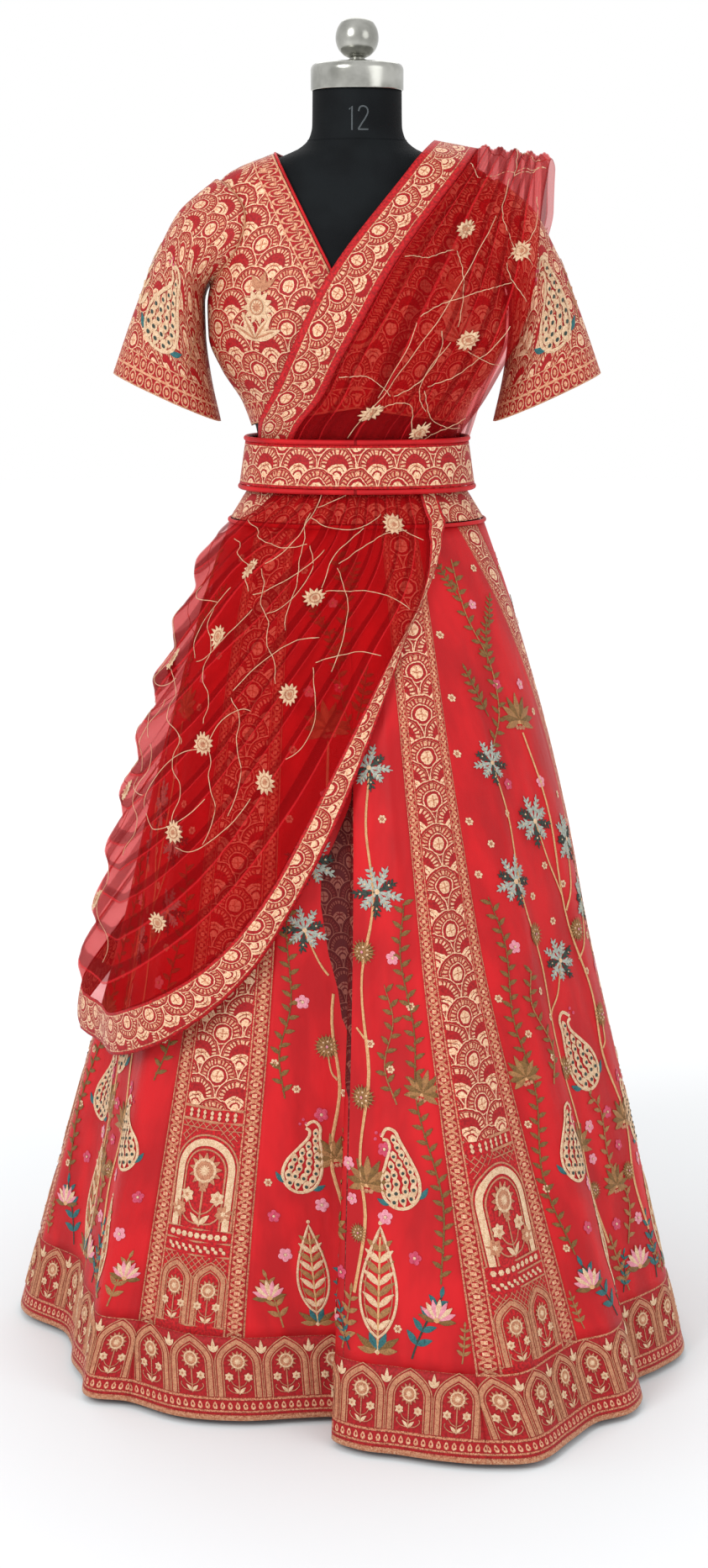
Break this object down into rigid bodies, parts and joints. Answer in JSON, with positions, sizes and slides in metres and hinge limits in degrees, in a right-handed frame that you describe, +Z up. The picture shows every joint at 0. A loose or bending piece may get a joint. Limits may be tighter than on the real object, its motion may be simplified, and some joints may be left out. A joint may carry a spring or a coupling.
{
  "type": "lehenga choli on dress form",
  "caption": "South Asian dress: flared embroidered skirt, short V-neck blouse, belt and sheer draped dupatta, on a limbless dress form with pole and base.",
  "frame": {"origin": "centre of the stand's base on the floor", "axes": "+Z up along the pole, front faces -Y, the wearer's left is +X"},
  "size_m": [0.8185, 0.8146, 1.5592],
  "materials": {
    "zari_cloth": "dense metallic thread embroidery on red cloth",
    "red_satin": "soft satin",
    "red_net": "sheer net",
    "dupatta_border": "embroidered band",
    "red_piping": "satin piping",
    "polished_steel": "polished",
    "form_cover": "black coated cloth",
    "stand_base": "black powder coat"
  },
  "bodies": {
    "root": {"choli_front": "zari_cloth", "choli_back": "zari_cloth", "sleeve_left": "zari_cloth", "sleeve_right": "zari_cloth", "belt_band": "zari_cloth", "waistband": "zari_cloth", "kali_gold_1": "zari_cloth", "kali_gold_2": "zari_cloth", "kali_gold_3": "zari_cloth", "kali_gold_4": "zari_cloth", "kali_gold_5": "zari_cloth", "kali_gold_6": "zari_cloth", "hem_border_1": "zari_cloth", "hem_border_2": "zari_cloth", "hem_border_3": "zari_cloth", "hem_border_4": "zari_cloth", "hem_border_5": "zari_cloth", "hem_border_6": "zari_cloth", "kali_red_1": "red_satin", "kali_red_2": "red_satin", "kali_red_3": "red_satin", "kali_red_4": "red_satin", "kali_red_5": "red_satin", "kali_red_6": "red_satin", "dupatta_swag": "red_net", "dupatta_shoulder": "red_net", "dupatta_swag_border": "dupatta_border", "dupatta_shoulder_border": "dupatta_border", "belt_piping_bottom": "red_piping", "belt_piping_top": "red_piping", "neck_piping": "red_piping", "waist_piping": "red_piping", "form_neck_cap": "polished_steel", "form_finial": "polished_steel", "form_pole": "polished_steel", "form_torso": "form_cover", "form_base": "stand_base"}
  },
  "joints": []
}
